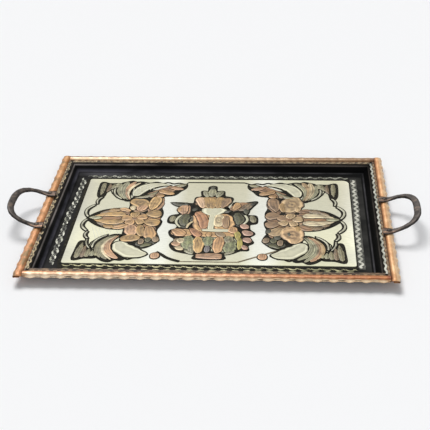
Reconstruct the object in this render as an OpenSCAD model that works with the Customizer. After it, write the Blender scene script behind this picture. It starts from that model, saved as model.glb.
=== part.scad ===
// Rectangular serving tray in mixed metals: a black-lacquered copper pan, four folded
// copper rim strips with a scalloped skirt, two forged handles riveted over the rim,
// and a white-metal plate on the floor that carries a spray of cut and raised sheet
// ornament at each end and a basket of flowers in the middle.
// +X runs along the tray, +Y to its back edge, +Z up. The origin is the middle of the
// underside. Millimetres.

/* [Tray] */
// Length over the rim, without the handles
tray_l = 475; // [450:5:500]
// Width over the rim
tray_w = 327; // [310:1:340]
// Height of the flange's top above the underside
flange_z = 13; // [11:0.5:16]

/* [Pan] */
// Thickness of the pan's sheet
pan_t = 1; // [0.8:0.1:1.4]
// Width of the flange that the rim strips fold over
flange_w = 18; // [16:0.5:20]
// Horizontal run of the sloping wall
wall_run = 10.5; // [9:0.5:12]
// Radius where the wall meets the floor
cove_r = 6; // [4:0.5:6]

/* [Rim] */
// Width of the rim strip on top
rim_w = 12.5; // [10:0.5:13]
// Height of the strip's rounded back above the flange
rim_h = 2.8; // [2.4:0.2:3.6]
// Thickness of the strip
rim_t = 1; // [0.8:0.1:1.1]
// Depth of the skirt below the flange's top
skirt_h = 2.8; // [2.6:0.2:3.6]
// Number of scallops along a long side
scallops_long = 24; // [20:1:28]
// Number of scallops along a short side
scallops_short = 16; // [14:1:20]
// Depth of a scallop
scallop_h = 1; // [0.6:0.1:1.2]

/* [Handles] */
// Distance between the left handle's legs
span_left = 86; // [80:1:100]
// Distance between the right handle's legs
span_right = 84; // [76:1:100]
// How far the left handle stands out from the rim, to the middle of its bar
reach_left = 38; // [32:1:46]
// How far the right handle stands out from the rim, to the middle of its bar
reach_right = 36; // [32:1:46]
// Shift of the left handle towards the back
shift_left = -3; // [-10:1:10]
// Shift of the right handle towards the back
shift_right = -10; // [-12:1:10]
// Upward tilt of the bars
handle_tilt = 21; // [8:1:28]
// Width of the bar at its legs
leg_w = 5.5; // [5:0.5:8]
// Width of the bar at the grip
grip_w = 9.5; // [8:0.5:12]
// Thickness of the bar
bar_t = 4; // [3:0.5:6]
// Radius of a rivet's shank
rivet_r = 2; // [1.5:0.1:2.5]

/* [Plate] */
// Length of the plate
plate_l = 374; // [370:1:380]
// Width of the plate
plate_w = 227; // [224:1:230]
// Thickness of the plate
plate_t = 0.8; // [0.6:0.1:1.2]
// Height of the raised ornament above the plate
sheet_t = 1.2; // [0.8:0.1:1.6]

/* [Hidden] */

COPPER = "#c98b5c";
ROSE = "#d3a184";
BRONZE = "#8a7048";
DARK = "#55553f";
GREEN = "#7f8f68";
VIOLET = "#bf9aa6";
WHITE_METAL = "#d8d6c6";
LACQUER = "#17171b";
IRON = "#4b4643";

eps = 0.01;
floor_z = pan_t;
plate_z = floor_z + plate_t;
rim_inset = 1.5;               // from the rim's outer face to the flange's edge
flange_l = tray_l - 2 * rim_inset;
flange_d = tray_w - 2 * rim_inset;
lip_w = 10;                    // how far the strip's lower lip reaches under the flange
shoulder_r = 2;                // where the flange turns down into the wall
floor_lap = 4;                 // floor that each wall's profile brings with it
seat_w = 5;                    // flat on the rim's back that the handle tabs sit on
tab_t = 2.6;
tab_w = 15;
tab_l = 15.5;
rivet_x = tray_l / 2 - rim_w / 2;
head_r = 3.6;
head_h = 1.8;
bar_x = tray_l / 2 - 0.5;       // where the bars' middle lines start
burr_r = 4;
burr_t = 0.8;
burr_z = flange_z - pan_t - rim_t - burr_t;
hole_gap = 0.05;
squareness = 0.72;             // how squarely a handle turns its corners
bar_steps = 36;
plate_corner = [3, 9, 3, 3];   // back left, back right, front right, front left

// ---------------------------------------------------------------- shapes shared by parts

function arc(cx, cy, r, a0, a1, n) =
    [for (k = [0:n]) let (a = a0 + (a1 - a0) * k / n) [cx + r * cos(a), cy + r * sin(a)]];

function unit(v) = v / norm(v);
function across(v) = [-v[1], v[0]];

// The points of a path moved sideways, to its left, by d.
function beside(path, d) = [for (k = [0:len(path) - 1])
    let (a = path[max(k - 1, 0)], b = path[min(k + 1, len(path) - 1)])
    path[k] + across(unit(b - a)) * d];

function backwards(path) = [for (k = [len(path) - 1:-1:0]) path[k]];

// A profile drawn inward (u) and up (z) from the tray's edge, run along one side of a
// rectangle of l by w and mitred at both ends. side 0 is the front, then anticlockwise.
module mitred_side(profile, l, w, side) {
    run = side % 2 == 0 ? l : w;
    off = side % 2 == 0 ? w : l;
    deep = 40;
    rotate(side * 90)
    translate([0, -off / 2, 0])
    intersection() {
        rotate([90, 0, 90])
        linear_extrude(run, center = true)
        polygon(profile);
        translate([0, 0, -deep / 2])
        linear_extrude(deep)
        polygon([[-run / 2, 0], [run / 2, 0], [run / 2 - deep, deep], [-run / 2 + deep, deep]]);
    }
}

// ---------------------------------------------------------------- pan

// Top line of the pan from the flange's edge, over the shoulder, down the wall and
// through the cove to the floor.
function pan_line() =
    let (
        drop = flange_z - floor_z,
        slope = atan2(drop, wall_run),
        s = shoulder_r * tan(slope / 2),
        c = cove_r * tan(slope / 2),
        foot = flange_w + wall_run
    )
    concat(
        [[0, flange_z]],
        arc(flange_w - s, flange_z - shoulder_r, shoulder_r, 90, 90 - slope, 4),
        arc(foot + c, floor_z + cove_r, cove_r, 270 - slope, 270, 6),
        [[foot + c + floor_lap, floor_z]]
    );

module tray_pan() {
    top = pan_line();
    section = concat(top, backwards(beside(top, -pan_t)));
    inset = top[len(top) - 1][0] - 1;       // the floor sheet laps the walls' feet by 1 mm
    color(LACQUER)
    difference() {
        union() {
            for (side = [0:3]) mitred_side(section, flange_l, flange_d, side);
            translate([-flange_l / 2 + inset, -flange_d / 2 + inset, 0])
            cube([flange_l - 2 * inset, flange_d - 2 * inset, pan_t]);
        }
        handle_holes();
    }
}

// ---------------------------------------------------------------- rim

// One folded strip: rounded back, scalloped outer skirt, and a lip under the flange.
module rim_strip(side) {
    n = side % 2 == 0 ? scallops_long : scallops_short;
    run = side % 2 == 0 ? tray_l : tray_w;
    off = side % 2 == 0 ? tray_w : tray_l;
    pitch = run / n;
    cut_r = (pow(pitch / 2 - 1, 2) + pow(scallop_h, 2)) / (2 * scallop_h);
    low = flange_z - skirt_h;
    back = flange_z + rim_h;
    flat_a = (rim_w - seat_w) / 2;
    outer = concat(
        [[0, low]],
        [for (k = [0:6]) let (a = 90 * k / 6)
            [flat_a * (1 - cos(a)), back - rim_h + rim_h * sin(a)]],
        [for (k = [0:6]) let (a = 90 - 90 * k / 6)
            [rim_w - flat_a * (1 - cos(a)), back - rim_h + rim_h * sin(a)]]
    );
    inner = concat(
        [[rim_w - rim_t, flange_z], [rim_w - rim_t - 0.4, flange_z + 0.9]],
        [[rim_w - flat_a, back - rim_t], [flat_a, back - rim_t]],
        [[rim_inset, flange_z + 0.4], [rim_inset, flange_z - pan_t], [lip_w, flange_z - pan_t]],
        [[lip_w, flange_z - pan_t - rim_t], [rim_t, flange_z - pan_t - rim_t], [rim_t, low]]
    );
    color(COPPER)
    difference() {
        mitred_side(concat(outer, inner), tray_l, tray_w, side);
        for (k = [0:n - 1])
            rotate(side * 90)
            translate([-run / 2 + pitch * (k + 0.5), -off / 2 - 1, low + scallop_h - cut_r])
            rotate([-90, 0, 0])
            cylinder(h = rim_t + 1 + eps, r = cut_r, $fn = 96);
        handle_holes();
    }
}

// ---------------------------------------------------------------- handles

function leg_places(left) = left
    ? [shift_left + span_left / 2, shift_left - span_left / 2]
    : [shift_right + span_right / 2, shift_right - span_right / 2];

module at_legs(left)
    for (y = leg_places(left)) translate([left ? -rivet_x : rivet_x, y, 0]) children();

// The four holes that the rivets pass through, in the flange and the rim strips.
module handle_holes()
    for (left = [true, false])
        at_legs(left) cylinder(h = 60, r = rivet_r + hole_gap, center = true, $fn = 48);

function signed_pow(v, p) = sign(v) * pow(abs(v), p);

// Middle line of a handle: half of a squared ellipse that stands out along +X.
function bar_line(span, reach) = [for (k = [0:bar_steps]) let (a = 180 * k / bar_steps)
    [reach * pow(sin(a), squareness), span / 2 * signed_pow(cos(a), squareness)]];

function bar_half(k) = (leg_w + (grip_w - leg_w) * pow(sin(180 * k / bar_steps), 2)) / 2;

function bar_edge(line, s) = [for (k = [0:len(line) - 1])
    let (a = line[max(k - 1, 0)], b = line[min(k + 1, len(line) - 1)])
    line[k] + across(unit(b - a)) * s * bar_half(k)];

module handle_shape(span, reach, shift) {
    line = bar_line(span, reach);
    seat_z = flange_z + rim_h;
    color(IRON)
    translate([0, shift, 0])
    difference() {
        union() {
            translate([bar_x, 0, seat_z + (tab_t - bar_t) / 2])
            rotate([0, -handle_tilt, 0])
            linear_extrude(bar_t)
            polygon(concat(bar_edge(line, 1), backwards(bar_edge(line, -1))));
            for (y = [span / 2, -span / 2])
                translate([tray_l / 2 - tab_l + 1, y - tab_w / 2, seat_z])
                cube([tab_l, tab_w, tab_t]);
        }
        for (y = [span / 2, -span / 2])
            translate([rivet_x, y, 0])
            cylinder(h = 60, r = rivet_r + hole_gap, $fn = 48);
        translate([tray_l / 2 - rim_w, -span, 0])
        cube([rim_w, 2 * span, seat_z]);
    }
}

module handle_left() mirror([1, 0, 0]) handle_shape(span_left, reach_left, shift_left);
module handle_right() handle_shape(span_right, reach_right, shift_right);

module rivet() {
    top = flange_z + rim_h + tab_t;
    foot = burr_z;
    ball_r = (head_r * head_r + head_h * head_h) / (2 * head_h);
    color(COPPER)
    rotate_extrude($fn = 48)
    polygon(concat(
        [[0, foot - 1], [rivet_r + 0.8, foot - 1], [rivet_r + 0.8, foot]],
        [[rivet_r, foot], [rivet_r, top]],
        arc(0, top + head_h - ball_r, ball_r, acos(head_r / ball_r), 90, 6)
    ));
}

module burr() {
    color(COPPER)
    translate([0, 0, burr_z])
    difference() {
        cylinder(h = burr_t, r = burr_r, $fn = 48);
        translate([0, 0, -1]) cylinder(h = burr_t + 2, r = rivet_r + hole_gap, $fn = 48);
    }
}

// ---------------------------------------------------------------- plate and ornament

module ground_plate() {
    color(WHITE_METAL)
    translate([0, 0, floor_z])
    linear_extrude(plate_t)
    polygon([for (k = [0:3])
        let (
            r = plate_corner[k],
            sx = (k == 0 || k == 3) ? -1 : 1,
            sy = k < 2 ? 1 : -1,
            from = 180 - 90 * k
        )
        each arc(sx * (plate_l / 2 - r), sy * (plate_w / 2 - r), r, from, from - 90, 6)]);
}

// A blade is one petal, leaf or scroll: [x0, y0, x1, y1, bend, width, p, q]. Its spine
// runs from the first point to the second and bows to the left by bend times its
// length. p and q shape its two ends: 0.5 is round, 1 is pointed, near 0 is square.
EGG = [0.5, 0.5];
PETAL = [0.75, 0.42];
LEAF = [0.9, 0.9];
TAIL = [0.45, 0.9];
BAND = [0.14, 0.14];
blade_steps = 9;

function blade_outline(b) =
    let (
        p0 = [b[0], b[1]], p2 = [b[2], b[3]], p = b[6][0], q = b[6][1],
        c = (p0 + p2) / 2 + 2 * b[4] * across(p2 - p0),
        peak = pow(p / (p + q), p) * pow(q / (p + q), q),
        ts = [for (k = [0:blade_steps]) (1 - cos(180 * k / blade_steps)) / 2],
        mid = [for (t = ts) (1 - t) * (1 - t) * p0 + 2 * t * (1 - t) * c + t * t * p2],
        dir = [for (t = ts) unit((1 - t) * (c - p0) + t * (p2 - c))],
        half = [for (t = ts) b[5] / 2 * pow(t, p) * pow(1 - t, q) / peak]
    )
    concat(
        [for (k = [0:blade_steps]) mid[k] + across(dir[k]) * half[k]],
        [for (k = [blade_steps - 1:-1:1]) mid[k] - across(dir[k]) * half[k]]
    );

module blades(list, tint) {
    color(tint)
    translate([0, 0, plate_z])
    for (b = list) linear_extrude(sheet_t) polygon(blade_outline(b));
}

module mirrored(left) mirror([left ? 1 : 0, 0, 0]) children();

// The spray at the right-hand end; the left-hand one is its mirror image.
scroll_blades = [
    [112, 66, 67, 93, -0.23, 19, TAIL],
    [123, -65, 78, -86, 0.21, 25, TAIL]
];
acanthus_blades = [
    [119, 54, 113, 102, -0.16, 6, PETAL],
    [123, 51, 127, 103, -0.14, 6, PETAL],
    [128, 51, 140, 103, -0.09, 5.5, PETAL],
    [123, -47, 113, -104, 0.28, 6, PETAL],
    [127.5, -46, 123, -107, 0.26, 6, PETAL],
    [133, -46, 138, -104, 0.2, 5, PETAL]
];
edging_blades = [
    [161, 60, 165, 39, 0.16, 3.4, BAND],
    [168, 36, 172, 3, 0.2, 4, BAND],
    [172, -4, 168, -35, 0.2, 4, BAND],
    [166, -38, 163, -55, 0.2, 3.4, BAND],
    [163, -58, 159, -77, 0.14, 3, BAND],
    [135, 54, 149, 83, -0.14, 3, BAND],
    [140, -45, 154, -73, 0.16, 3, BAND]
];
corner_blades = [
    [166, 64, 167, 100, 0, 8, PETAL],
    [156.5, 88, 159, 100, 0, 6, EGG],
    [151, 89, 148, 100, 0, 5, EGG],
    [168, -65, 172, -104, 0, 9, PETAL],
    [162, -86, 163, -101, 0, 6.5, EGG],
    [155, -88, 154, -101, 0, 6, EGG]
];
pod_blades = [
    [124, 8, 170, 3, 0.1, 12, TAIL],
    [124, -8, 170, -3, -0.1, 12, TAIL],
    [121, 19, 133, 22, 0.1, 8, EGG],
    [135, 22, 146, 19, 0.1, 6, EGG],
    [149, 20, 158, 15.5, 0.1, 4, EGG],
    [121, -19, 133, -23, -0.1, 8, EGG],
    [135, -23, 146, -20, -0.1, 6.5, EGG],
    [149, -20.5, 158, -15.5, -0.1, 4, EGG]
];
flower = [105, -1];            // middle of the small flower in each spray
flower_r = 15;
function flower_blades() = [for (k = [0:5]) let (a = 60 * k)
    [flower[0] + 5 * cos(a), flower[1] + 5 * sin(a),
     flower[0] + flower_r * cos(a), flower[1] + flower_r * sin(a), 0, 9, PETAL]];
petal_blades = concat(flower_blades(), [
    [103, -1, 107, -1, 0, 4.5, EGG],
    [89, 9, 72, 11, 0.04, 16, PETAL],
    [89, -9, 72, -13, -0.04, 16, PETAL],
    [87, 22, 81, 55, 0, 14, PETAL],
    [87, -24, 79, -46, 0, 14, PETAL],
    [102, 40, 109, 63, 0, 21, PETAL],
    [103, -40, 110, -65, 0, 22, PETAL],
    [100, 19, 97, 39, 0.06, 10, EGG],
    [100, -20, 96, -41, -0.06, 10, EGG],
    [111, 20, 112, 37, -0.1, 9, LEAF],
    [112, -20, 113, -37, 0.1, 9, LEAF]
]);
bud_blades = [
    [84, 60, 74, 64, 0, 8, EGG],
    [92, 54, 91, 66, 0, 8, EGG],
    [99, 67, 84, 75, -0.1, 6, EGG],
    [80, 78, 62, 70, 0.1, 11, EGG],
    [65, 87, 49, 82, -0.05, 7, LEAF],
    [58, 92, 46, 97, 0.1, 6, LEAF],
    [75, -49, 73, -60, 0, 7, EGG],
    [84, -49, 84, -61, 0, 8, EGG],
    [92, -56, 92, -66, 0, 7, EGG],
    [79, -64, 88, -73, 0.1, 6, EGG],
    [69, -88, 69, -102, 0, 12, EGG]
];

bouquet_petal_blades = [
    [-16, 33, -26, 58, 0, 8.5, PETAL],
    [-9, 31, -15, 60, 0, 9, PETAL],
    [-3, 29, -3, 57, 0, 8, PETAL],
    [3, 31, 8, 60, 0, 9, PETAL],
    [11, 34, 22, 58, 0, 8.5, PETAL],
    [-40, 14, -40, 35, 0.1, 12, EGG],
    [28, 26, 31, 45, -0.1, 9, EGG],
    [36, 24, 57, 48, -0.06, 11, LEAF],
    [-22, 16, -12, -27, 0.08, 14, EGG],
    [7, 10, 9, -20, 0, 12, EGG],
    [20, 8, 24, -18, -0.08, 8, EGG],
    [-52, -30, -35, -45, 0, 15, EGG],
    [-29, -26, -15, -45, 0, 10, PETAL],
    [-2, -35, -2, -45, 0, 7.5, EGG],
    [9, -35, 19, -46, 0, 9, EGG],
    [25, -21, 32, -36, 0, 11, EGG],
    [-14, -54, -12, -86, 0, 12, EGG],
    [12, -54, 10, -86, 0, 12, EGG],
    [35, -41, 36, -74, 0.03, 8, EGG]
];
bouquet_leaf_blades = [
    [-6, 63, -6, 92, 0, 9, EGG],
    [-14, 63, -18, 79, -0.1, 6.5, EGG],
    [2, 62, 9, 76, 0.1, 7, EGG],
    [-33, 40, -61, 43, 0.1, 7, LEAF],
    [-30, 22, -27, 33, 0, 5, EGG],
    [24, 23, 14, 18, 0, 5, EGG],
    [-34, 10, -36, -18, -0.12, 14, EGG],
    [-54, 7, -57, -9, 0, 6.5, EGG],
    [33, 13, 34, -14, 0.08, 12, EGG],
    [51, 9, 56, -9, 0, 8, EGG]
];
violet_blades = [
    [39, -15, 49, -25, 0, 10, EGG],
    [43, -33, 55, -42, 0, 10, EGG],
    [43, -52, 53, -61, 0, 9, EGG],
    [42, -69, 48, -78, 0, 7, EGG],
    [0, -70, 0, -85, 0, 7, EGG]
];
chalice_blades = [
    [-22, 27, 18, 29, -0.22, 10, LEAF],
    [-2, 10, -2, -27, 0, 7, EGG],
    [-11, -31, 17, -31, 0, 4, EGG],
    [-44, 9, -43, -23, -0.18, 2.6, BAND],
    [42, 10, 41, -12, 0.2, 2.6, BAND]
];
basket_blades = [
    [-23, -49, -30, -76, 0, 12, EGG],
    [0, -50, 0, -67, 0, 9, EGG],
    [25, -47, 27, -79, 0, 12, EGG],
    [-43, -54, -36, -62, 0, 9, EGG],
    [-49, -65, -39, -69, 0, 7, EGG],
    [-44, -74, -35, -80, 0, 7, EGG],
    [-32, -82, -20, -89, 0, 5, EGG],
    [31, -84, 20, -90, 0, 5, EGG]
];
foot_blades = [[-16, -95, 17, -95, 0, 12, BAND]];

// ---------------------------------------------------------------- assembly

tray_pan();
rim_strip(0);  // rim_front
rim_strip(1);  // rim_right
rim_strip(2);  // rim_back
rim_strip(3);  // rim_left
handle_left();
handle_right();
at_legs(true) rivet();  // handle_rivets_left
at_legs(false) rivet();  // handle_rivets_right
at_legs(true) burr();  // rivet_burrs_left
at_legs(false) burr();  // rivet_burrs_right
ground_plate();
mirrored(true) blades(scroll_blades, WHITE_METAL);  // scrolls_left
mirrored(false) blades(scroll_blades, WHITE_METAL);  // scrolls_right
mirrored(true) blades(acanthus_blades, ROSE);  // acanthus_left
mirrored(false) blades(acanthus_blades, ROSE);  // acanthus_right
mirrored(true) blades(edging_blades, WHITE_METAL);  // scalloped_edging_left
mirrored(false) blades(edging_blades, WHITE_METAL);  // scalloped_edging_right
mirrored(true) blades(corner_blades, DARK);  // corner_leaves_left
mirrored(false) blades(corner_blades, DARK);  // corner_leaves_right
mirrored(true) blades(pod_blades, ROSE);  // pod_left
mirrored(false) blades(pod_blades, ROSE);  // pod_right
mirrored(true) blades(petal_blades, COPPER);  // flower_petals_left
mirrored(false) blades(petal_blades, COPPER);  // flower_petals_right
mirrored(true) blades(bud_blades, BRONZE);  // flower_buds_left
mirrored(false) blades(bud_blades, BRONZE);  // flower_buds_right
blades(bouquet_petal_blades, COPPER);  // bouquet_petals
blades(bouquet_leaf_blades, DARK);  // bouquet_leaves
blades(violet_blades, VIOLET);  // bouquet_violets
blades(chalice_blades, WHITE_METAL);  // chalice
blades(basket_blades, GREEN);  // basket
blades(foot_blades, ROSE);  // basket_foot
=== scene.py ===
"""Serving tray in mixed metals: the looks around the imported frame.

Lengths in the tables and helpers are millimetres; meshes are scaled to metres when they are
made. +X runs along the tray, +Y to its back edge, +Z up.
"""
import math

import bpy
from mathutils import Matrix, Vector, noise


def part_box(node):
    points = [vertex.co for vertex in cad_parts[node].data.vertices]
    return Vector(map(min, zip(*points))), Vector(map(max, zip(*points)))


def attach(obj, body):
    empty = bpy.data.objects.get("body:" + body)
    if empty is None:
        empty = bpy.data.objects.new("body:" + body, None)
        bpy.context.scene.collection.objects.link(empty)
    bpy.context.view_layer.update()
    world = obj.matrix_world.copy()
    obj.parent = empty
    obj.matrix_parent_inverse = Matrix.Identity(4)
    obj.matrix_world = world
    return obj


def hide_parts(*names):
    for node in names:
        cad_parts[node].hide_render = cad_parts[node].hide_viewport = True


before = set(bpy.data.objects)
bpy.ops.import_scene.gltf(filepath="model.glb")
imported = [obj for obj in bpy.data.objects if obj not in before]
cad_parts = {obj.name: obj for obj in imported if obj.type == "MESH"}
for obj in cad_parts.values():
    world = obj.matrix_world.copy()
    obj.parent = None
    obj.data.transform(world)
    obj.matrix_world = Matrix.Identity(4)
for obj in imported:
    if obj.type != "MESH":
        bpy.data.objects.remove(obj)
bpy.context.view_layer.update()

MM = 0.001


def box_mm(node):
    """Lowest and highest corner of a CAD node, in millimetres."""
    low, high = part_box(node)
    return [v / MM for v in low], [v / MM for v in high]


# ---------------------------------------------------------------- driving dimensions

pan_low, pan_high = box_mm("tray_pan")
plate_low, plate_high = box_mm("ground_plate")
rim_low, rim_high = box_mm("rim_front")
side_high = box_mm("rim_left")[1]

HALF_L = rim_high[0]                       # half the tray's length over the rim
HALF_W = side_high[1]                      # half its width
FLANGE_Z = pan_high[2]
RIM_TOP = rim_high[2]
RIM_LOW = rim_low[2]
RIM_W = rim_high[1] - rim_low[1]
FLOOR_Z = plate_low[2]
PLATE_Z = plate_high[2]
RIM_INSET = HALF_L - pan_high[0]           # from the rim's outer face to the flange's edge
PAN_T = FLOOR_Z - pan_low[2]

LOBE_PITCH = 19.6                          # crimped lobes along the rim's outer edge


# ---------------------------------------------------------------- materials

def new_material(name, metallic, roughness, specular=0.5):
    """A Principled material with its uniform values set on the shader."""
    material = bpy.data.materials.new(name)
    material.use_nodes = True
    shader = material.node_tree.nodes["Principled BSDF"]
    shader.inputs["Metallic"].default_value = metallic
    shader.inputs["Roughness"].default_value = roughness
    shader.inputs["Specular IOR Level"].default_value = specular
    return material, material.node_tree, shader


def add_node(tree, kind, **values):
    """A node with its named inputs or attributes set."""
    node = tree.nodes.new(kind)
    for key, value in values.items():
        if key in node.inputs:
            node.inputs[key].default_value = value
        else:
            setattr(node, key, value)
    return node


def object_coords(tree, stretch=(1, 1, 1)):
    """Places on the tray, stretched on each axis."""
    coords = add_node(tree, "ShaderNodeTexCoord")
    mapping = add_node(tree, "ShaderNodeMapping", Scale=stretch)
    tree.links.new(coords.outputs["Object"], mapping.inputs["Vector"])
    return mapping.outputs["Vector"]


def noise_factor(tree, scale, stretch=(1, 1, 1), detail=4.0):
    """Noise over the object; scale is in features per metre."""
    tex = add_node(tree, "ShaderNodeTexNoise", Scale=scale, Detail=detail)
    tree.links.new(object_coords(tree, stretch), tex.inputs["Vector"])
    return tex.outputs["Fac"]


def ramp(tree, factor, stops):
    """A colour ramp; stops are (place, colour), and a single number is a grey."""
    node = add_node(tree, "ShaderNodeValToRGB")
    elements = node.color_ramp.elements
    while len(elements) < len(stops):
        elements.new(0.5)
    for element, (place, colour) in zip(elements, stops):
        element.position = place
        element.color = (*(colour if hasattr(colour, "__len__") else [colour] * 3), 1)
    tree.links.new(factor, node.inputs["Fac"])
    return node.outputs["Color"]


def mix(tree, factor, a, b, blend="MIX"):
    """Mixes two colours; each of the three may be a value or a link."""
    node = add_node(tree, "ShaderNodeMix", data_type="RGBA", blend_type=blend)
    for socket, value in ((node.inputs[0], factor), (node.inputs[6], a), (node.inputs[7], b)):
        if hasattr(value, "is_linked"):
            tree.links.new(value, socket)
        elif isinstance(value, tuple):
            socket.default_value = (*value, 1)
        else:
            socket.default_value = value
    return node.outputs[2]

def times(tree, a, b, factor=1.0):
    """One colour multiplied by another, as far as factor says."""
    return mix(tree, factor, a, b, "MULTIPLY")

def paint(tree, shader, colour, roughness=None):
    """Gives a shader its colour and, where it varies, its roughness."""
    tree.links.new(colour, shader.inputs["Base Color"])
    if roughness is not None:
        tree.links.new(roughness, shader.inputs["Roughness"])


def bump(tree, shader, height, strength, distance):
    """Roughens a surface by a height pattern."""
    node = add_node(tree, "ShaderNodeBump", Strength=strength, Distance=distance)
    tree.links.new(height, node.inputs["Height"])
    tree.links.new(node.outputs["Normal"], shader.inputs["Normal"])


def value_range(tree, value, low, high, out_low=0.0, out_high=1.0):
    """Maps values between low and high to the range from out_low to out_high."""
    node = add_node(tree, "ShaderNodeMapRange")
    node.inputs["From Min"].default_value = low
    node.inputs["From Max"].default_value = high
    node.inputs["To Min"].default_value = out_low
    node.inputs["To Max"].default_value = out_high
    tree.links.new(value, node.inputs["Value"])
    return node.outputs["Result"]


def axis_value(tree, axis):
    """The place along one axis."""
    coords = add_node(tree, "ShaderNodeTexCoord")
    split = add_node(tree, "ShaderNodeSeparateXYZ")
    tree.links.new(coords.outputs["Object"], split.inputs["Vector"])
    return split.outputs[axis]


def attribute(tree, name):
    """A value stored at the vertices, such as edge or hollow."""
    return add_node(tree, "ShaderNodeAttribute", attribute_name=name).outputs["Fac"]


def relief_metal(name, light, dark, metallic=0.2, roughness=0.45, right_darkening=0.3, stained=0.85):
    """Worked metal: painted shade darkens it towards its edge, past a band of painted highlight
    just inside it; it is dark in its chased lines, and darker between the bouquet and the
    right-hand spray."""
    material, tree, shader = new_material(name, metallic, roughness)
    patches = noise_factor(tree, 130, detail=5.0)
    edge = attribute(tree, "edge")
    # Painted shade darkens each blade towards its edge, past a band of painted highlight just inside it.
    middle = [0.62 * v + 0.38 * w for v, w in zip(light, dark)]
    painted_highlight = [min(1.28 * v + 0.04, 0.9) for v in light]
    body = ramp(tree, edge, [(0.0, light), (0.42, middle), (0.6, painted_highlight), (0.74, painted_highlight), (0.95, dark)])
    stain = ramp(tree, patches, [(0.28, (0.42, 0.38, 0.28)), (0.5, (1.0, 0.99, 0.9)),
                                 (0.72, (1.35, 1.3, 1.1))])
    colour = times(tree, body, stain, stained)
    along = value_range(tree, axis_value(tree, "X"), 0.05, 0.13)
    shade = ramp(tree, along, [(0.0, 1), (0.25, (0.66, 0.62, 0.6)), (0.5, (0.72, 0.68, 0.66)),
                               (0.7, 1)])
    colour = times(tree, colour, shade, right_darkening)
    chased = ramp(tree, attribute(tree, "hollow"), [(0.0, 1), (1.0, (0.16, 0.12, 0.09))])
    colour = times(tree, colour, chased)
    paint(tree, shader, colour, value_range(tree, patches, 0.3, 0.7, roughness - 0.1, roughness + 0.12))
    bump(tree, shader, noise_factor(tree, 900, (1, 0.25, 1), 6.0), 0.35, 0.0002)
    return material


def lacquer_material():
    """Black lacquer with painted sheen in bands by height and a painted highlight line near the top
    of the wall. The painted sheen is blue grey at the left and blacker at the right, and the floor
    behind takes its own painted sheen and shade, grey at the left and black at the right."""
    material, tree, shader = new_material("black_lacquer", 0.0, 0.5, specular=0.045)
    height = value_range(tree, axis_value(tree, "Z"), 0.0, FLANGE_Z * MM)
    # Painted sheen on the left: blue-grey reflection bands by height, and a painted highlight line near
    # the top of the wall.
    painted_light = ramp(tree, height, [(0.09, (0.018, 0.018, 0.017)), (0.13, (0.010, 0.010, 0.011)),
                               (0.22, (0.068, 0.068, 0.078)), (0.36, (0.040, 0.040, 0.050)),
                               (0.5, 0.006), (0.72, 0.006),
                               (0.83, (0.24, 0.22, 0.20)), (0.92, (0.014, 0.012, 0.009))])
    # The same painted sheen and highlight line, blacker, on the right.
    black = ramp(tree, height, [(0.0775, (0.036, 0.036, 0.032)), (0.079, 0.0003),
                                (0.118, 0.0003), (0.15, (0.06, 0.06, 0.063)),
                                (0.22, (0.045, 0.045, 0.046)), (0.27, 0.0008),
                                (0.74, 0.002), (0.84, (0.08, 0.07, 0.06)),
                                (0.93, (0.012, 0.010, 0.008))])
    along = value_range(tree, axis_value(tree, "X"), -0.19, 0.12)
    zones = mix(tree, along, painted_light, black)
    # Painted sheen and shade on the floor behind, under the back wall.
    behind = value_range(tree, axis_value(tree, "Y"), 0.1235, 0.1275)
    low_down = value_range(tree, height, 0.1, 0.16, 1.0, 0.0)
    rear = add_node(tree, "ShaderNodeMath", operation="MULTIPLY")
    tree.links.new(behind, rear.inputs[0])
    tree.links.new(low_down, rear.inputs[1])
    rear_floor = ramp(tree, along, [(0.0, (0.05, 0.05, 0.053)), (0.5, 0.008), (1.0, 0.001)])
    zones = mix(tree, rear.outputs[0], zones, rear_floor)
    cloud = noise_factor(tree, 26, (1, 1, 5))
    wear = ramp(tree, cloud, [(0.35, 0.35), (0.65, (1.5, 1.45, 1.5))])
    paint(tree, shader, times(tree, zones, wear), value_range(tree, height, 0.4, 0.8, 0.6, 0.3))
    bump(tree, shader, noise_factor(tree, 40, detail=1.0), 0.12, 0.0006)
    return material


def copper_material(name, body, along="X", shift=((0.0, 1), (1.0, 1)),
                    crest=((0.98, 0.76, 0.50), (0.98, 0.76, 0.50))):
    """Beaten copper. shift tints it along the strip, from one end (0) to the other (1), and crest
    is the colour of the painted highlight on its crests at the two ends; the hollow attribute
    gives painted shade."""
    material, tree, shader = new_material(name, 0.3, 0.42)
    patches = noise_factor(tree, 95, (1.6, 0.7, 1))
    low, middle, high = body
    stained = ramp(tree, patches, [(0.36, low), (0.5, middle), (0.64, high)])
    place = value_range(tree, axis_value(tree, along), -0.2, 0.2)
    stained = times(tree, stained, ramp(tree, place, shift))
    # Painted highlight: the crests are mixed towards a pale colour.
    crests = value_range(tree, attribute(tree, "edge"), 0.0, 1.0, 0.0, 0.85)
    stained = mix(tree, crests, stained, ramp(tree, place, [(0.2, crest[0]), (0.8, crest[1])]))
    # Painted shade, darker as the hollow attribute rises.
    painted_shade = ramp(tree, attribute(tree, "hollow"), [(0.0, 1.0), (0.45, (0.72, 0.56, 0.45)),
                                                  (1.0, (0.14, 0.085, 0.05))])
    paint(tree, shader, times(tree, stained, painted_shade), value_range(tree, patches, 0.3, 0.7, 0.52, 0.36))
    bump(tree, shader, noise_factor(tree, 300, (1, 1, 1), 5.0), 0.4, 0.0004)
    return material


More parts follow.
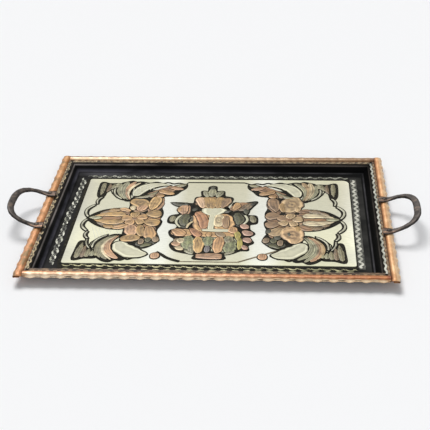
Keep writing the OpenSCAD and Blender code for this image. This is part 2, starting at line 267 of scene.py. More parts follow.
def iron_material():
    """Dark forged iron with paler patches, a painted highlight on the top of its bar, painted shade
    under it, and painted light and shade across the grooves of its tabs.
    """
    material, tree, shader = new_material("forged_iron", 0.55, 0.5)
    patches = noise_factor(tree, 150)
    body = ramp(tree, patches, [(0.3, (0.022, 0.019, 0.018)), (0.55, (0.06, 0.052, 0.047)),
                                (0.75, (0.15, 0.115, 0.09))])
    # Painted light: brighter on top of the bar, darker underneath.
    crown = ramp(tree, attribute(tree, "edge"), [(0.0, (1.5, 1.4, 1.3)), (0.6, 1.0),
                                                (1.0, (0.45, 0.43, 0.42))])
    colour = times(tree, body, crown)
    # Painted highlight at the lips of the tabs' grooves, painted shade in their bottoms.
    ridges = ramp(tree, attribute(tree, "hollow"), [(0.0, 1), (0.45, (2.4, 1.8, 1.4)),
                                                    (1.0, (0.3, 0.25, 0.22))])
    paint(tree, shader, times(tree, colour, ridges))
    bump(tree, shader, noise_factor(tree, 420, (1, 1, 1), 6.0), 0.6, 0.0006)
    return material


def plate_material():
    """White metal: greener towards the middle and the ends, bright beside the bouquet."""
    material, tree, shader = new_material("white_metal_plate", 0.12, 0.5, specular=0.3)
    distance = add_node(tree, "ShaderNodeMath", operation="ABSOLUTE")
    tree.links.new(axis_value(tree, "X"), distance.inputs[0])
    across = value_range(tree, distance.outputs[0], 0.0, 0.187)
    zones = ramp(tree, across, [(0.0, (0.57, 0.55, 0.43)), (0.22, (0.60, 0.58, 0.46)),
                                (0.31, (0.73, 0.73, 0.67)), (0.40, (0.76, 0.76, 0.71)),
                                (0.52, (0.60, 0.59, 0.46)), (0.9, (0.62, 0.60, 0.47)),
                                (1.0, (0.76, 0.74, 0.63))])
    forward = value_range(tree, axis_value(tree, "Y"), -0.114, 0.114)
    lit = ramp(tree, forward, [(0.0, (1.22, 1.22, 1.1)), (0.06, (1.1, 1.1, 1.05)), (0.5, 1),
                               (0.93, (0.98, 0.96, 0.9)), (1.0, (1.12, 1.1, 1.0))])
    zones = times(tree, zones, lit)
    low_field = ramp(tree, forward, [(0.12, 1), (0.22, (1.2, 1.2, 1.14)), (0.4, (1.2, 1.2, 1.14)),
                                     (0.52, 1)])
    ends = value_range(tree, distance.outputs[0], 0.11, 0.13)
    zones = mix(tree, ends, zones, times(tree, zones, low_field))
    left_edge = value_range(tree, axis_value(tree, "X"), -0.187, -0.17, 0.72, 1.0)
    zones = times(tree, zones, left_edge)
    brushed = noise_factor(tree, 160, (1, 7, 1), 6.0)
    shade = ramp(tree, brushed, [(0.3, (0.84, 0.85, 0.82)), (0.65, (1.05, 1.05, 1.04))])
    paint(tree, shader, times(tree, zones, shade, 0.9), value_range(tree, brushed, 0.3, 0.7, 0.45, 0.6))
    bump(tree, shader, brushed, 0.3, 0.0003)
    return material


def mottled_material(name, dark, light, scale=120, span=(0.38, 0.6), metallic=0.4, roughness=0.42,
                     specular=0.5):
    """Mottled between two colours, such as bright metal where the lacquer is cut through."""
    material, tree, shader = new_material(name, metallic, roughness, specular)
    paint(tree, shader, ramp(tree, noise_factor(tree, scale), [(span[0], dark), (span[1], light)]))
    return material

LACQUER = lacquer_material()
COPPER = copper_material("copper", [(0.40, 0.20, 0.10), (0.62, 0.34, 0.18), (0.80, 0.50, 0.30)])
FRONT_COPPER = copper_material(
    "copper_front", [(0.46, 0.24, 0.125), (0.59, 0.33, 0.18), (0.72, 0.45, 0.27)],
    shift=[(0.2, (1.02, 0.92, 0.84)), (0.5, (0.82, 0.65, 0.5)), (0.8, (0.62, 0.37, 0.17))],
    crest=((1.0, 0.88, 0.66), (1.0, 0.80, 0.52)))
BACK_COPPER = copper_material(
    "copper_back", [(0.41, 0.26, 0.15), (0.56, 0.40, 0.265), (0.70, 0.55, 0.38)],
    shift=[(0.0, (1.0, 0.9, 0.86)), (0.3, (1.0, 1.0, 0.92)), (0.55, (0.75, 0.68, 0.6)),
           (0.85, (0.48, 0.38, 0.28))])
LEFT_COPPER = copper_material(
    "copper_left", [(0.30, 0.18, 0.07), (0.66, 0.295, 0.115), (0.86, 0.45, 0.22)], "Y",
    [(0.1, (1.0, 1.0, 1.1)), (0.9, (0.85, 0.9, 0.8))])
RIGHT_COPPER = copper_material(
    "copper_right", [(0.57, 0.30, 0.13), (0.74, 0.43, 0.20), (0.90, 0.59, 0.32)], "Y",
    [(0.1, 1.0), (0.9, (1.0, 0.94, 0.92))])
RIM_METALS = (FRONT_COPPER, RIGHT_COPPER, BACK_COPPER, LEFT_COPPER)
IRON = iron_material()
PLATE = plate_material()
KEYLINE = mottled_material("black_keyline", (0.006, 0.006, 0.004), (0.035, 0.03, 0.018), 240,
                           (0.35, 0.75), 0.0, 0.75, 0.12)
RIB = mottled_material("shallow_rib", (0.46, 0.45, 0.36), (0.56, 0.55, 0.44))
BROWN_LINE = mottled_material("brown_line", (0.05, 0.035, 0.015), (0.16, 0.12, 0.06))
CUT = mottled_material("bright_cut", (0.26, 0.26, 0.21), (0.60, 0.59, 0.50))
DIM = mottled_material("dim_cut", (0.14, 0.14, 0.10), (0.42, 0.42, 0.34))
FAINT = mottled_material("faint_cut", (0.035, 0.035, 0.028), (0.13, 0.13, 0.105))
OLIVE = mottled_material("olive_cut", (0.16, 0.15, 0.07), (0.50, 0.46, 0.25))
SPECKLED = mottled_material("speckled_cut", (0.02, 0.016, 0.006), (0.40, 0.31, 0.17), 260)
UMBER_GROUND = mottled_material("umber_ground", (0.03, 0.017, 0.007), (0.12, 0.072, 0.033))
DULL = mottled_material("dull_cut", (0.07, 0.04, 0.02), (0.20, 0.12, 0.065))
WORN = mottled_material("worn_ground", (0.018, 0.018, 0.012), (0.075, 0.072, 0.058))
CREAM = mottled_material("cream_cut", (0.08, 0.045, 0.02), (0.28, 0.19, 0.10))
TEETH = mottled_material("copper_teeth", (0.10, 0.065, 0.03), (0.38, 0.25, 0.13), 300, (0.3, 0.65),
                         roughness=0.45)
TINT_METALS = {        # name, light colour and dark colour (the painted shade at a blade's edge), and what differs from the usual finish
    "orange": ("copper_orange", (0.52, 0.30, 0.14), (0.14, 0.066, 0.028)),
    "ember": ("copper_ember", (0.41, 0.195, 0.09), (0.13, 0.053, 0.025)),
    "gold": ("copper_gold", (0.55, 0.35, 0.14), (0.13, 0.073, 0.028)),
    "copper": ("copper_tan", (0.49, 0.29, 0.125), (0.10, 0.056, 0.025)),
    "rose": ("copper_rose", (0.50, 0.30, 0.175), (0.13, 0.069, 0.039)),
    "pink": ("copper_pink", (0.64, 0.44, 0.29), (0.17, 0.099, 0.061)),
    "cream": ("cream_metal", (0.59, 0.49, 0.32), (0.15, 0.11, 0.066)),
    "brown": ("bronze_brown", (0.28, 0.15, 0.068), (0.042, 0.023, 0.011)),
    "umber": ("bronze_umber", (0.27, 0.19, 0.11), (0.042, 0.028, 0.016)),
    "olive": ("olive_patina", (0.45, 0.38, 0.090), (0.091, 0.073, 0.019)),
    "green": ("green_patina", (0.27, 0.29, 0.15), (0.035, 0.040, 0.019)),
    "sage": ("sage_patina", (0.37, 0.36, 0.24), (0.063, 0.063, 0.036)),
    "moss": ("moss_patina", (0.10, 0.098, 0.032), (0.008, 0.009, 0.004)),
    "dark": ("dark_patina", (0.053, 0.052, 0.025), (0.006, 0.005, 0.003)),
    "grey": ("grey_patina", (0.31, 0.285, 0.17), (0.025, 0.021, 0.013)),
    "slate": ("slate_patina", (0.21, 0.19, 0.20), (0.028, 0.023, 0.025)),
    "violet": ("violet_patina", (0.46, 0.28, 0.21), (0.11, 0.059, 0.045)),
    "white": ("white_metal_ornament", (0.58, 0.56, 0.41), (0.39, 0.375, 0.25), 0.1, 0.5, 0.0, 0.25),
    "silver": ("silver_edging", (0.50, 0.49, 0.40), (0.09, 0.088, 0.06), 0.2, 0.4, 0.0),
    "ivory": ("ivory_metal", (0.72, 0.61, 0.43), (0.20, 0.15, 0.10)),
    "buff": ("copper_buff", (0.58, 0.385, 0.21), (0.15, 0.09, 0.05)),
    "tan": ("copper_dull_tan", (0.48, 0.335, 0.18), (0.12, 0.08, 0.05)),
    "bronze": ("bronze_mid", (0.31, 0.19, 0.10), (0.07, 0.042, 0.024)),
    "amber": ("copper_amber", (0.40, 0.25, 0.096), (0.10, 0.06, 0.028)),
}
TINTS = {tint: relief_metal(*values) for tint, values in TINT_METALS.items()}


# ---------------------------------------------------------------- mesh helpers

class Sheet:
    """Collects vertices, faces with their materials, and for each vertex how near an edge and how
    deep in a groove it lies; on the rims and handles these two values carry painted highlight and
    painted shade."""

    def __init__(self):
        self.verts = []
        self.faces = []
        self.tints = []
        self.edge = []
        self.hollow = []
        self.materials = []

    def vert(self, x, y, z, edge=0.0, hollow=0.0):
        self.verts.append((x * MM, y * MM, z * MM))
        self.edge.append(edge)
        self.hollow.append(hollow)
        return len(self.verts) - 1

    def face(self, corners, material):
        if material not in self.materials:
            self.materials.append(material)
        self.faces.append(corners)
        self.tints.append(self.materials.index(material))

    def build(self, name, nodes=(), angle=50):
        mesh = bpy.data.meshes.new(name)
        mesh.from_pydata(self.verts, [], self.faces)
        for material in self.materials:
            mesh.materials.append(material)
        for polygon, tint in zip(mesh.polygons, self.tints):
            polygon.material_index = tint
        for key, values in (("edge", self.edge), ("hollow", self.hollow)):
            mesh.attributes.new(key, "FLOAT", "POINT").data.foreach_set("value", values)
        mesh.shade_smooth()
        mesh.set_sharp_from_angle(angle=math.radians(angle))
        mesh.update()
        piece = bpy.data.objects.new(name, mesh)
        bpy.context.scene.collection.objects.link(piece)
        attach(piece, "root")
        if nodes:
            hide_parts(*nodes)
        return piece


def skin(sheet, rings, material, outward=True):
    """Closes a row of rings of vertices into a tube with two end faces."""
    def add(corners):
        sheet.face(corners if outward else corners[::-1], material)

    count = len(rings[0])
    for a, b in zip(rings, rings[1:]):
        for j in range(count):
            i = (j + 1) % count
            add([a[j], a[i], b[i], b[j]])
    add(rings[0][::-1])
    add(rings[-1])

def sheet_prism(sheet, outline, z0, z1, material):
    """A flat piece with the given outline, which runs anticlockwise."""
    skin(sheet, [[sheet.vert(x, y, z, 1.0) for x, y in outline] for z in (z0, z1)], material)

def ribbon(sheet, path, width, z0, z1, material):
    """A strip of flat section along a path of (x, y) points."""
    rings = []
    last = len(path) - 1
    for k, point in enumerate(path):
        along = (Vector(path[min(k + 1, last)]) - Vector(path[max(k - 1, 0)])).normalized()
        side = Vector((-along.y, along.x)) * width / 2
        left, right = Vector(point) + side, Vector(point) - side
        rings.append([sheet.vert(left.x, left.y, z0, 1), sheet.vert(right.x, right.y, z0, 1),
                      sheet.vert(right.x, right.y, z1, 0), sheet.vert(left.x, left.y, z1, 0)])
    skin(sheet, rings, material)

def smooth_path(points, closed=False, steps=6):
    """A Catmull-Rom curve through the points."""
    out = []
    n = len(points)
    for k in range(n if closed else n - 1):
        if closed:
            p = [Vector(points[(k + j - 1) % n]) for j in range(4)]
        else:
            p = [Vector(points[min(max(k + j - 1, 0), n - 1)]) for j in range(4)]
        for j in range(steps):
            t = j / steps
            v = 0.5 * (2 * p[1] + (p[2] - p[0]) * t + (2 * p[0] - 5 * p[1] + 4 * p[2] - p[3]) * t * t
                       + (3 * p[1] - p[0] - 3 * p[2] + p[3]) * t ** 3)
            out.append((v.x, v.y))
    if not closed:
        out.append(tuple(points[-1]))
    return out


def beside(points, distance):
    """A closed outline moved outward by a distance, whichever way it runs."""
    n = len(points)
    area = sum(points[k - 1][0] * points[k][1] - points[k][0] * points[k - 1][1] for k in range(n))
    out = []
    for k in range(n):
        along = (Vector(points[(k + 1) % n]) - Vector(points[k - 1])).normalized()
        away = Vector((along.y, -along.x)) * math.copysign(distance, area)
        out.append((points[k][0] + away.x, points[k][1] + away.y))
    return out


def flip(points, side):
    """Points of the right-hand spray, or their mirror image for side -1."""
    return [(side * x, y) for x, y in points]


# ---------------------------------------------------------------- blades

# A blade is one petal, leaf or scroll: x0, y0, x1, y1, bend, width, ends, style, tint. Its
# spine runs from the first point to the second and bows to the left by bend times its length.
# The two numbers of ends shape its two ends: 0.5 is round, 1 is pointed, near 0 is square.
EGG = (0.5, 0.5)
PETAL = (0.75, 0.42)
LEAF = (0.9, 0.9)
TAIL = (0.45, 0.9)
BAND = (0.14, 0.14)

LINE_H = 0.25                  # chased lines above the plate
GROUND_H = 0.3                 # black grounds above the plate
GROUND_GROW = 1.6              # how far they reach past their drawn outlines
UNDER_H = 0.35                 # edges of the lower petals above the plate
KEY_H = 0.6                    # black outlines above the plate
EDGE_H = 0.8                   # a blade's edge above the plate


def style_height(style, t, s):
    """A blade's face at one point: height above its edge in millimetres, and depth of chasing."""
    arch = math.sin(math.pi * t) ** 0.5 if 0 < t < 1 else 0.0
    crown = math.sqrt(max(1 - s * s, 0))
    if style == "petal":
        crease = math.exp(-(s / 0.13) ** 2) * max(1 - 1.3 * t, 0) ** 0.5
        side_crease = math.exp(-((abs(s) - 0.45) / 0.09) ** 2) * (0.12 < t < 0.7)
        return (0.55 * crown - 0.3 * crease - 0.1 * side_crease) * arch, max(crease, 0.45 * side_crease)
    if style == "leaf":
        vein = 0.5 + 0.5 * math.cos((t * 6 - abs(s) * 1.3) * 2 * math.pi)
        return (0.7 * (1 - abs(s)) ** 0.8 - 0.12 * vein * crown) * arch, 0.7 * vein * (abs(s) > 0.1)
    if style == "fluted":
        flute = 0.5 - 0.5 * math.cos(s * 3 * math.pi)
        return (0.5 * crown - 0.15 * flute) * arch, 0.55 * flute
    if style == "curl":
        roll = math.exp(-((s - 0.5) / 0.22) ** 2)
        groove = math.exp(-((s + 0.17) / 0.12) ** 2)
        return (0.4 * crown + 0.4 * roll - 0.15 * groove) * arch, 0.7 * groove
    if style == "ring":
        away = math.hypot(2 * t - 1, s)
        groove = math.exp(-((away - 0.42) / 0.12) ** 2)
        pit = math.exp(-(away / 0.16) ** 2)
        return (0.5 * crown - 0.2 * groove - 0.2 * pit) * arch, max(0.8 * groove, pit)
    if style == "ribbed":
        rib = 0.5 + 0.5 * math.cos(t * 18 * math.pi)
        return 0.2 * crown ** 0.6 * arch, 0.16 * rib
    if style == "low":
        return 0.15 * crown ** 0.6 * arch, 0.0
    if style == "under":
        return 0.22 * crown * arch, 0.0
    if style == "flat":
        return 0.0, 0.0
    return 0.6 * crown * arch, 0.0


def serration(blade, t):
    """How a blade's width varies by hand, and by the teeth of a leaf."""
    uneven = 1 + 0.22 * noise.noise(Vector((blade[0] * 0.31, blade[1] * 0.31, t * 2.2)))
    if len(blade) > 7 and blade[7] == "leaf":
        uneven *= 1 + 0.13 * math.cos(t * 9 * math.pi)
    return uneven


def blade_points(blade, grow=0.0, rows=16):
    """Spine points, side directions and half widths; grow widens it all round."""
    x0, y0, x1, y1, bend, width, ends = blade[:7]
    p, q = ends
    a, b = Vector((x0, y0)), Vector((x1, y1))
    reach = b - a
    c = (a + b) / 2 + 2 * bend * Vector((-reach.y, reach.x))
    if grow:
        a = a - (c - a).normalized() * grow
        b = b + (b - c).normalized() * grow
    peak = (p / (p + q)) ** p * (q / (p + q)) ** q
    out = []
    for k in range(rows + 1):
        t = (1 - math.cos(math.pi * k / rows)) / 2
        here = (1 - t) ** 2 * a + 2 * t * (1 - t) * c + t * t * b
        along = ((1 - t) * (c - a) + t * (b - c)).normalized()
        half = (width / 2 * serration(blade, t) + grow) * t ** p * (1 - t) ** q / peak
        across = Vector((-along.y, along.x))
        stray = 0.09 * width * noise.noise(Vector((here.x * 0.16, here.y * 0.16, 2.0)))
        out.append((t, here + across * stray, across, half))
    return out


def add_blade(sheet, blade, side, grow, base, edge_h, style, material, cols=12, rows=16):
    """One closed blade on the sheet: a modelled face, walls and a flat back."""
    points = blade_points(blade, grow, rows)
    top = []
    for k, (t, here, across, half) in enumerate(points):
        pole = k in (0, rows)
        row = []
        for j in range(1 if pole else cols + 1):
            s = 0.0 if pole else 2 * j / cols - 1
            place = here + across * (half * s)
            rise, hollow = (0.0, 0.0) if pole else style_height(style, t, s)
            row.append(sheet.vert(side * place.x, place.y, base + edge_h + rise,
                                  1.0 if pole else abs(s) ** 1.5, hollow))
        top.append(row)
    low = []
    for row in top:
        rim = (row[0], row[-1]) if len(row) > 1 else (row[0],)
        low.append([sheet.vert(*(v / MM for v in sheet.verts[i][:2]), base, 1.0) for i in rim])

    def add(corners):
        corners = [c for n, c in enumerate(corners) if c != corners[n - 1]]
        sheet.face(corners if side > 0 else corners[::-1], material)

    for k in range(rows):
        a, b = top[k], top[k + 1]
        for j in range(cols):
            a0, a1 = a[min(j, len(a) - 1)], a[min(j + 1, len(a) - 1)]
            b0, b1 = b[min(j, len(b) - 1)], b[min(j + 1, len(b) - 1)]
            add([a0, b0, b1, a1])
        la, lb = low[k], low[k + 1]
        add([la[0], lb[0], b[0], a[0]][::-1])
        add([la[-1], lb[-1], b[-1], a[-1]])
        add([la[0], la[-1], lb[-1], lb[0]])


def relief(name, blades, side, node, grow):
    """A piece that stands for a CAD node: all its blades, modelled."""
    sheet = Sheet()
    for blade in blades:
        add_blade(sheet, blade, side, grow, PLATE_Z, EDGE_H, blade[7], TINTS[blade[8]])
    return sheet.build(name, [node])

def alike(ends, style, tint, *places):
    """Blades that differ only in x0, y0, x1, y1, bend and width."""
    return [(*place, ends, style, tint) for place in places]


scroll_blades = [
    (115, 62, 68, 95, -0.25, 19, TAIL, "ribbed", "white"),
    (121, -62, 80, -91, 0.2, 27, (0.5, 0.6), "low", "white"),
]
right_acanthus = [
    (120, 52, 110, 102, -0.2, 7.5, PETAL, "fluted", "sage"),
    (121, 51, 121, 104, -0.15, 9.5, PETAL, "fluted", "tan"),
    (124, 51, 131, 103, -0.11, 9, PETAL, "fluted", "cream"),
    *alike(PETAL, "fluted", "sage", (128, 52, 139, 97, -0.13, 5.5), (121, -47, 114, -102, 0.27, 8),
           (124, -46, 122, -106, 0.26, 8)),
    (127, -46, 130, -105, 0.24, 9.5, PETAL, "fluted", "rose"),
    (131, -47, 139, -99, 0.21, 5.5, PETAL, "bud", "tan"),
]
left_acanthus = [
    (120, 52, 112, 101, -0.2, 4.5, PETAL, "bud", "ivory"),
    (121, 51, 119, 104, -0.15, 8, PETAL, "petal", "rose"),
    *alike(PETAL, "fluted", "sage", (124, 51, 130, 103, -0.13, 10), (128, 52, 139, 97, -0.13, 6)),
    (122, -47, 116, -103, 0.27, 10, PETAL, "petal", "rose"),
    (124, -46, 124, -106, 0.26, 4, PETAL, "bud", "ivory"),
    *alike(PETAL, "fluted", "grey", (127, -46, 130, -105, 0.24, 8), (131, -47, 139, -101, 0.21, 6)),
]
edging_blades = [
    *alike(BAND, "bud", "silver", (161, 58, 165, 39, 0.16, 2.2), (168, 35, 172, 3, 0.22, 2.8),
           (172, -4, 168, -34, 0.22, 2.8), (166, -37, 163, -54, 0.2, 2.4), (163, -57, 157, -78, 0.1, 2.2),
           (133, 54, 146, 84, -0.16, 2.4), (138, -46, 153, -77, 0.16, 2.4)),
]
corner_blades = [
    (164, 63, 164, 100, 0, 7.5, PETAL, "leaf", "grey"),
    (158, 72, 156, 99, 0.08, 6, LEAF, "leaf", "umber"),
    (154, 80, 149, 99, 0.1, 6, LEAF, "leaf", "grey"),
    (151, 86, 141, 97, 0.1, 7, EGG, "leaf", "grey"),
    (147, 92, 143, 99, 0, 5, LEAF, "bud", "sage"),
    (167, -65, 170, -103, 0, 8, PETAL, "leaf", "grey"),
    (162, -72, 163, -101, 0, 6.5, PETAL, "leaf", "umber"),
    (156, -80, 157, -100, 0, 7, PETAL, "leaf", "grey"),
    (151, -84, 150, -98, 0, 6, PETAL, "leaf", "sage"),
    (146, -88, 145, -97, 0, 4.5, PETAL, "bud", "grey"),
]


def pod_blades(body, bead, leaf):
    """A pod with its two long ridges, a pale tip and a leaf on each side."""
    return [
        *alike(TAIL, "fluted", body, (121, 8, 163, 4.5, 0.08, 13), (121, -9, 163, -5.5, -0.08, 13)),
        (152, 0, 170, 0, 0, 8, LEAF, "bud", "sage"),
        (116, 18, 132, 24, 0.12, 9, EGG, "curl", bead),
        (128, 22, 147, 17, 0.1, 9, LEAF, "leaf", leaf),
        (143, 18, 157, 10, 0.1, 5, LEAF, "leaf", "umber"),
        (116, -18, 134, -26, -0.1, 11, EGG, "curl", bead),
        (129, -24, 148, -20, -0.1, 9, LEAF, "leaf", leaf),
        (145, -18, 158, -11, -0.1, 5, LEAF, "leaf", "umber"),
    ]


def small_flower(x, y, tints):
    """Five petals round a dark eye."""
    out = []
    for k in range(5):
        c, s = math.cos(math.radians(72 * k + 10)), math.sin(math.radians(72 * k + 10))
        out.append((x + 3 * c, y + 3 * s, x + 18 * c, y + 17 * s, 0, 14, PETAL, "petal",
                    tints[k % len(tints)]))
    return out + [(x - 4, y, x + 4, y, 0, 8, EGG, "ring", "brown")]


right_petals = small_flower(103, -2, ("tan", "tan", "bronze")) + [
    *alike(PETAL, "petal", "bronze", (91, 9, 71, 11, 0.04, 20), (90, -13, 71, -17, -0.04, 17),
           (85, 20, 80, 57, 0.03, 18)),
    (99, 20, 108, 62, -0.06, 30, EGG, "ring", "tan"),
    (96, 20, 95, 46, 0.1, 10, EGG, "petal", "amber"),
    (114, 20, 114, 36, 0, 8, EGG, "bud", "tan"),
    (92, -21, 80, -43, 0, 19, PETAL, "petal", "tan"),
    (99, -21, 110, -62, 0.06, 31, EGG, "ring", "buff"),
    (114, -18, 114, -34, 0, 8, EGG, "bud", "amber"),
    *alike(EGG, "bud", "dark", (102, -34, 104, -45, 0, 5), (77, -27, 75, -38, 0, 8),
           (88, -43, 87, -53, 0, 9)),
]
left_petals = small_flower(107, -2, ("copper", "amber")) + [
    *alike(PETAL, "petal", "amber", (93, 12, 72, 13, 0.04, 21), (93, -12, 72, -13, -0.04, 21)),
    (87, 23, 82, 60, 0, 17, (0.6, 0.42), "petal", "gold"),
    (93, 35, 119, 47, 0.06, 24, EGG, "ring", "amber"),
    (104, 20, 98, 37, 0, 14, EGG, "petal", "rose"),
    (112, 22, 115, 34, 0, 8, EGG, "bud", "cream"),
    (86, -21, 79, -54, 0, 17, (0.6, 0.42), "petal", "copper"),
    (96, -19, 91, -47, 0.1, 12, EGG, "curl", "amber"),
    (109, -18, 105, -46, 0.05, 19, EGG, "petal", "rose"),
    (94, -50, 119, -56, 0, 20, EGG, "ring", "amber"),
]
bud_blades = [
    (84, 60, 74, 65, 0, 9, EGG, "bud", "copper"),
    (92, 58, 90, 68, 0, 8, EGG, "bud", "umber"),
    (115, 57, 84, 77, 0.16, 8, LEAF, "leaf", "grey"),
    (82, 79, 60, 70, 0.1, 12, EGG, "petal", "copper"),
    (68, 86, 48, 82, -0.05, 9, LEAF, "leaf", "rose"),
    (60, 93, 45, 97, 0.1, 7, LEAF, "leaf", "grey"),
    (74, -48, 72, -62, 0, 9, EGG, "bud", "umber"),
    (83, -49, 82, -62, 0, 9, EGG, "ring", "moss"),
    (92, -54, 91, -68, 0, 9, EGG, "ring", "umber"),
    (76, -67, 90, -75, 0.1, 8, EGG, "bud", "moss"),
    (69, -88, 69, -102, 0, 12, EGG, "petal", "rose"),
]

bouquet_petal_blades = [
    (-15, 29, -23, 59, 0, 15, PETAL, "petal", "pink"),
    (-9, 28, -14, 60, 0, 15, PETAL, "petal", "amber"),
    (10, 29, 17, 58, 0, 15, PETAL, "petal", "bronze"),
    *alike(PETAL, "petal", "amber", (4, 28, 7, 60, 0, 15), (-3, 27, -3, 58, 0, 15)),
    (-41, 13, -40, 37, 0.1, 13, EGG, "petal", "rose"),
    (-47, 17, -46, 31, 0.1, 7, EGG, "bud", "copper"),
    (27, 25, 30, 45, -0.1, 10, EGG, "petal", "copper"),
    (34, 22, 51, 45, -0.06, 13, LEAF, "leaf", "umber"),
    (-24, 18, -12, -27, 0.1, 16, EGG, "curl", "ember"),
    (8, 12, 8, -21, 0, 17, EGG, "ring", "cream"),
    (18, 8, 20, -24, -0.08, 12, EGG, "petal", "bronze"),
    (-52, -29, -35, -44, 0, 16, EGG, "petal", "orange"),
    (-30, -25, -14, -46, 0, 12, PETAL, "petal", "ember"),
    (-3, -35, -3, -47, 0, 8, EGG, "bud", "copper"),
    (6, -35, 18, -47, 0, 10, EGG, "petal", "umber"),
    (25, -21, 31, -38, 0, 12, EGG, "petal", "orange"),
    (-17, -47, -14, -88, 0, 14, EGG, "petal", "gold"),
    (12, -46, 10, -87, 0, 16, EGG, "petal", "orange"),
    *alike(EGG, "petal", "olive", (33, -32, 36, -56, 0.03, 8), (38, -50, 38, -78, 0.03, 8)),
]
bouquet_leaf_blades = [
    (-6, 62, -6, 85, 0, 11, EGG, "leaf", "sage"),
    (-6, 80, -6, 93, 0, 7, LEAF, "bud", "dark"),
    *alike(EGG, "leaf", "sage", (-13, 60, -18, 78, -0.1, 9), (2, 60, 9, 77, 0.1, 9)),
    (-36, 38, -61, 44, 0.12, 9, LEAF, "leaf", "dark"),
    (-41, 37, -40, 43, 0, 5, EGG, "bud", "dark"),
    *alike(LEAF, "leaf", "dark", (-30, 20, -24, 30, 0, 6), (24, 22, 13, 18, 0, 6), (46, 34, 57, 48, 0, 6)),
    (-35, 11, -37, -19, -0.12, 15, EGG, "leaf", "moss"),
    (-55, 7, -56, -9, 0, 8, EGG, "leaf", "grey"),
    (31, 16, 34, -15, 0.08, 14, EGG, "leaf", "moss"),
    (51, 9, 56, -9, 0, 9, EGG, "leaf", "grey"),
    (42, 30, 45, 12, 0, 7, LEAF, "bud", "dark"),
]
violet_blades = [
    *alike(EGG, "petal", "violet", (38, -15, 48, -25, 0, 11), (41, -32, 54, -42, 0, 12),
           (43, -50, 53, -60, 0, 11), (42, -68, 48, -78, 0, 8)),
    (-3, -69, -3, -86, 0, 7.5, EGG, "fluted", "slate"),
]
chalice_blades = [
    (-1, 29, -1, 3, 0, 35, (0.3, 1.3), "low", "white"),
    *alike(BAND, "bud", "white", (-2, 12, -2, -30, 0, 7.5), (-13, -30, 24, -31, 0, 6.5),
           (-44, 9, -43, -23, -0.2, 3), (42, 10, 41, -14, 0.2, 3)),
    (-27, -8, -34, -25, -0.1, 3, BAND, "bud", "cream"),
]
basket_blades = [
    *alike(EGG, "leaf", "green", (-30, -45, -29, -78, 0, 17), (-3, -46, -3, -70, 0, 15)),
    (23, -45, 25, -64, 0, 13, EGG, "leaf", "grey"),
    (28, -56, 25, -87, 0, 17, EGG, "leaf", "green"),
    (-26, -66, -22, -89, 0, 10, EGG, "leaf", "sage"),
    (-43, -53, -35, -63, 0, 11, EGG, "petal", "cream"),
    (-50, -63, -39, -69, 0, 9, EGG, "petal", "rose"),
    (-45, -73, -34, -80, 0, 8, EGG, "petal", "cream"),
    *alike(EGG, "leaf", "sage", (-32, -82, -20, -90, 0, 5), (33, -83, 20, -90, 0, 5)),
]
foot_blades = [(-16, -95, 17, -95, 0, 13, BAND, "fluted", "rose")]


def spray_groups(acanthus, petals, pod):
    """Each group: its blades, its slot, how far its blades swell past the plain outline, and the
    width of the black line round each of them."""
    return {
        "scrolls": (scroll_blades, "white_metal_ornament", 0.2, 2.4),
        "acanthus": (acanthus, "rose_copper", 0.3, 0.8),
        "scalloped_edging": (edging_blades, "white_metal_ornament", 0.1, 2.1),
        "corner_leaves": (corner_blades, "dark_patina", 0.2, 1.0),
        "pod": (pod, "rose_copper", 0.3, 0.8),
        "flower_petals": (petals, "copper_ornament", 0.3, 1.0),
        "flower_buds": (bud_blades, "bronze_patina", 0.2, 1.0),
    }


SPRAYS = {
    "left": (-1, spray_groups(left_acanthus, left_petals, pod_blades("gold", "copper", "amber"))),
    "right": (1, spray_groups(right_acanthus, right_petals, pod_blades("ivory", "brown", "umber"))),
}
MIDDLE = {
    "bouquet_petals": (bouquet_petal_blades, "copper_ornament", 0.2, 0.6),
    "bouquet_leaves": (bouquet_leaf_blades, "dark_patina", 0.2, 1.5),
    "bouquet_violets": (violet_blades, "violet_patina", 0.2, 1.5),
    "chalice": (chalice_blades, "white_metal_ornament", 0.2, 0.7),
    "basket": (basket_blades, "green_patina", 0.2, 0.5),
    "basket_foot": (foot_blades, "rose_copper", 0.3, 0.4),
}


spray_under = [
    (88, 15, 77, 58, 0.02, 21, EGG, "petal", "brown"),
    (104, 16, 103, 50, 0, 27, EGG, "petal", "bronze"),
    (90, -14, 80, -48, 0, 20, EGG, "petal", "brown"),
    *alike(EGG, "petal", "bronze", (105, -16, 103, -50, 0, 27), (86, -1, 124, -1, 0, 32)),
    (72, -1, 92, -1, 0, 16, EGG, "petal", "brown"),
    (115, 0, 168, 0, 0, 24, TAIL, "low", "brown"),
    (115, 14, 158, 10, 0.1, 18, LEAF, "petal", "brown"),
    (115, -14, 158, -11, -0.1, 20, LEAF, "petal", "umber"),
    (98, 62, 48, 94, -0.02, 18, LEAF, "leaf", "brown"),
    (98, 66, 74, 68, -0.02, 17, EGG, "petal", "brown"),
    (71, -50, 98, -66, -0.12, 20, EGG, "petal", "dark"),
]
bouquet_under = [
    (-3, 26, -3, 61, 0, 50, EGG, "low", "copper"),
    (-40, 8, -41, 41, 0, 17, EGG, "petal", "brown"),
    (22, 22, 48, 44, 0.05, 20, LEAF, "petal", "brown"),
    *alike(EGG, "petal", "copper", (-17, 22, -12, -34, 0.05, 34), (12, 14, 16, -30, 0, 32)),
    *alike(EGG, "leaf", "dark", (-37, 14, -39, -24, 0, 20), (35, 16, 38, -20, 0, 20)),
    (-54, -35, -24, -38, 0, 20, EGG, "petal", "copper"),
    (-24, -38, 34, -36, 0, 20, BAND, "low", "copper"),
    (-36, -66, 36, -66, 0, 34, BAND, "low", "sage"),
    (-46, -52, -38, -82, 0.05, 15, EGG, "petal", "umber"),
]


